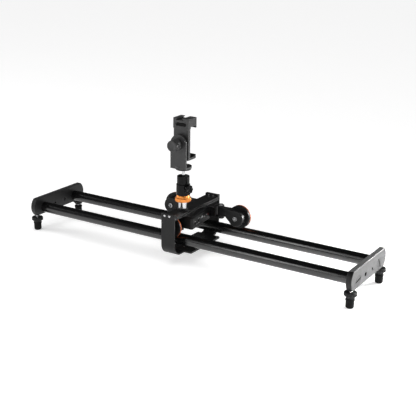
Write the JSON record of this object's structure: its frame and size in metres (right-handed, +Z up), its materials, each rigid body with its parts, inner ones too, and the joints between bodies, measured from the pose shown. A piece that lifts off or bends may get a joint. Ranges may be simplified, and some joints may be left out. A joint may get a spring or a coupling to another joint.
{
  "type": "camera slider",
  "caption": "Motorised twin-rail camera slider with a wheeled carriage, ball head and spring phone clamp on levelling feet.",
  "frame": {"origin": "centre of the bounding box in plan, at the level that the feet stand on", "axes": "+X along the rails, -Y the operator's side with the strap screws and pivot knob, +Z up"},
  "size_m": [0.8394, 0.1908, 0.3186],
  "materials": {
    "plate": "bead-blasted black anodised",
    "rail": "satin black anodised",
    "plug": "dark oxide",
    "strap": "fine black powder coat",
    "bar": "satin black anodised",
    "case": "moulded black",
    "rubber": "matt black",
    "steel": "bright",
    "nut": "black anodised",
    "wheel": "moulded black",
    "orange_tyre": "satin orange",
    "orange_metal": "orange anodised",
    "chrome": "polished",
    "head": "satin black anodised",
    "clamp": "bead-blasted black anodised",
    "motor": "plain",
    "battery": "shrink sleeve",
    "board": "solder resist",
    "bronze": "sintered",
    "silver_cap": "silver",
    "lamp": "translucent red"
  },
  "bodies": {
    "frame": {"end_plate_left": "plate", "end_plate_right": "plate", "rail_tube_near": "rail", "rail_tube_far": "rail", "tube_end_plugs": "plug"},
    "foot_near_left": {"foot_stud_near_left": "steel", "rubber_foot_near_left": "rubber"},
    "nut_near_left": {"lock_nut_near_left": "nut"},
    "foot_far_left": {"foot_stud_far_left": "steel", "rubber_foot_far_left": "rubber"},
    "nut_far_left": {"lock_nut_far_left": "nut"},
    "foot_near_right": {"foot_stud_near_right": "steel", "rubber_foot_near_right": "rubber"},
    "nut_near_right": {"lock_nut_near_right": "nut"},
    "foot_far_right": {"foot_stud_far_right": "steel", "rubber_foot_far_right": "rubber"},
    "nut_far_right": {"lock_nut_far_right": "nut"},
    "carriage": {"retaining_strap": "strap", "base_plate": "strap", "top_bar": "bar", "carriage_screws": "steel", "case_shell": "case", "case_lid": "case", "battery_pack": "battery", "circuit_board": "board", "gear_motor": "motor", "axle_bearing": "bronze", "indicator_lamp": "lamp", "charge_port": "plug", "hinge_block": "bar", "arm_pivot_pins": "steel", "head_neck": "chrome"},
    "drive_wheel": {"drive_hub": "wheel", "drive_ring": "orange_tyre", "drive_tyre": "rubber", "drive_axle": "steel"},
    "switch": {"power_slider": "silver_cap"},
    "speed_key": {"speed_button": "case"},
    "direction_key": {"direction_button": "case"},
    "left_arm": {"arm_left": "bar", "wheel_axle_left": "steel"},
    "right_arm": {"arm_right": "bar", "wheel_axle_right": "steel"},
    "left_wheel": {"wheel_hub_left": "wheel", "wheel_tyre_left": "orange_tyre"},
    "right_wheel": {"wheel_hub_right": "wheel", "wheel_tyre_right": "orange_tyre"},
    "pan_ring": {"lock_ring": "orange_metal"},
    "head": {"head_body": "head"},
    "ball_lock": {"head_knob": "head"},
    "camera_mount": {"ball_stem": "chrome", "head_platform": "head", "clamp_bracket": "clamp"},
    "clamp_lock": {"pivot_knob": "clamp"},
    "clamp": {"clamp_body": "clamp", "lower_pads": "rubber", "jaw_springs": "steel"},
    "jaw": {"clamp_jaw": "clamp", "guide_rods": "steel", "upper_pad": "rubber"}
  },
  "joints": [
    {"name": "level_near_left", "type": "slide", "parent": "frame", "child": "foot_near_left", "axis": [0, 0, 1], "range_m": [-0.008, 0.005]},
    {"name": "lock_near_left", "type": "hinge", "parent": "foot_near_left", "child": "nut_near_left", "pos_m": [-0.4064, -0.0764, 0.03], "axis": [0, 0, 1], "continuous": true},
    {"name": "level_far_left", "type": "slide", "parent": "frame", "child": "foot_far_left", "axis": [0, 0, 1], "range_m": [-0.008, 0]},
    {"name": "lock_far_left", "type": "hinge", "parent": "foot_far_left", "child": "nut_far_left", "pos_m": [-0.4064, 0.0764, 0.03], "axis": [0, 0, 1], "continuous": true},
    {"name": "level_near_right", "type": "slide", "parent": "frame", "child": "foot_near_right", "axis": [0, 0, 1], "range_m": [-0.008, 0.0025]},
    {"name": "lock_near_right", "type": "hinge", "parent": "foot_near_right", "child": "nut_near_right", "pos_m": [0.4064, -0.0764, 0.03], "axis": [0, 0, 1], "continuous": true},
    {"name": "level_far_right", "type": "slide", "parent": "frame", "child": "foot_far_right", "axis": [0, 0, 1], "range_m": [-0.008, 0.0025]},
    {"name": "lock_far_right", "type": "hinge", "parent": "foot_far_right", "child": "nut_far_right", "pos_m": [0.4064, 0.0764, 0.03], "axis": [0, 0, 1], "continuous": true},
    {"name": "carriage_slide", "type": "slide", "parent": "frame", "child": "carriage", "axis": [1, 0, 0], "range_m": [-0.28, 0.29]},
    {"name": "drive_spin", "type": "hinge", "parent": "carriage", "child": "drive_wheel", "pos_m": [-0.0202, -0.07, 0.0826], "axis": [0, 1, 0], "continuous": true},
    {"name": "power_switch", "type": "slide", "parent": "carriage", "child": "switch", "axis": [-0.12, 0.9928, 0], "range_m": [0, 0.006]},
    {"name": "speed_press", "type": "slide", "parent": "carriage", "child": "speed_key", "axis": [-0.9928, -0.12, 0], "range_m": [0, 0.001], "stiffness_N_per_m": 800, "springref_m": -0.001},
    {"name": "direction_press", "type": "slide", "parent": "carriage", "child": "direction_key", "axis": [-0.9928, -0.12, 0], "range_m": [0, 0.001], "stiffness_N_per_m": 800, "springref_m": -0.001},
    {"name": "left_arm_swing", "type": "hinge", "parent": "carriage", "child": "left_arm", "pos_m": [-0.046, 0.041, 0.0981], "axis": [0, 0, -1], "range_deg": [-15, 35]},
    {"name": "right_arm_swing", "type": "hinge", "parent": "carriage", "child": "right_arm", "pos_m": [0.037, 0.041, 0.0981], "axis": [0, 0, 1], "range_deg": [-15, 35]},
    {"name": "left_wheel_spin", "type": "hinge", "parent": "left_arm", "child": "left_wheel", "pos_m": [-0.09, 0.05, 0.0914], "axis": [0, 1, 0], "continuous": true},
    {"name": "right_wheel_spin", "type": "hinge", "parent": "right_arm", "child": "right_wheel", "pos_m": [0.081, 0.05, 0.0914], "axis": [0, 1, 0], "continuous": true},
    {"name": "pan_lock", "type": "hinge", "parent": "carriage", "child": "pan_ring", "pos_m": [-0.0155, -0.0345, 0.1403], "axis": [0, 0, 1], "continuous": true},
    {"name": "head_pan", "type": "hinge", "parent": "carriage", "child": "head", "pos_m": [-0.0155, -0.0345, 0.1596], "axis": [0, 0, 1], "continuous": true},
    {"name": "ball_tilt", "type": "hinge", "parent": "head", "child": "camera_mount", "pos_m": [-0.0155, -0.0345, 0.1766], "axis": [1, 0, 0], "range_deg": [-25, 25]},
    {"name": "ball_lock_turn", "type": "hinge", "parent": "head", "child": "ball_lock", "pos_m": [-0.0155, -0.0345, 0.1636], "axis": [0.9272, -0.3746, 0], "continuous": true},
    {"name": "clamp_turn", "type": "hinge", "parent": "camera_mount", "child": "clamp", "pos_m": [-0.0175, -0.045, 0.2646], "axis": [0, 1, 0], "range_deg": [-90, 90]},
    {"name": "clamp_lock_turn", "type": "hinge", "parent": "camera_mount", "child": "clamp_lock", "pos_m": [-0.0175, -0.06, 0.2646], "axis": [0, 1, 0], "continuous": true},
    {"name": "jaw_slide", "type": "slide", "parent": "clamp", "child": "jaw", "axis": [0, 0, 1], "range_m": [0, 0.025], "stiffness_N_per_m": 300, "springref_m": -0.02, "deforming": ["jaw_springs"]}
  ],
  "couplings": [
    {"joint": "drive_spin", "follows": "carriage_slide", "rad_per_m": 58.139},
    {"joint": "left_wheel_spin", "follows": "carriage_slide", "rad_per_m": 38.462},
    {"joint": "right_wheel_spin", "follows": "carriage_slide", "rad_per_m": 38.462}
  ]
}
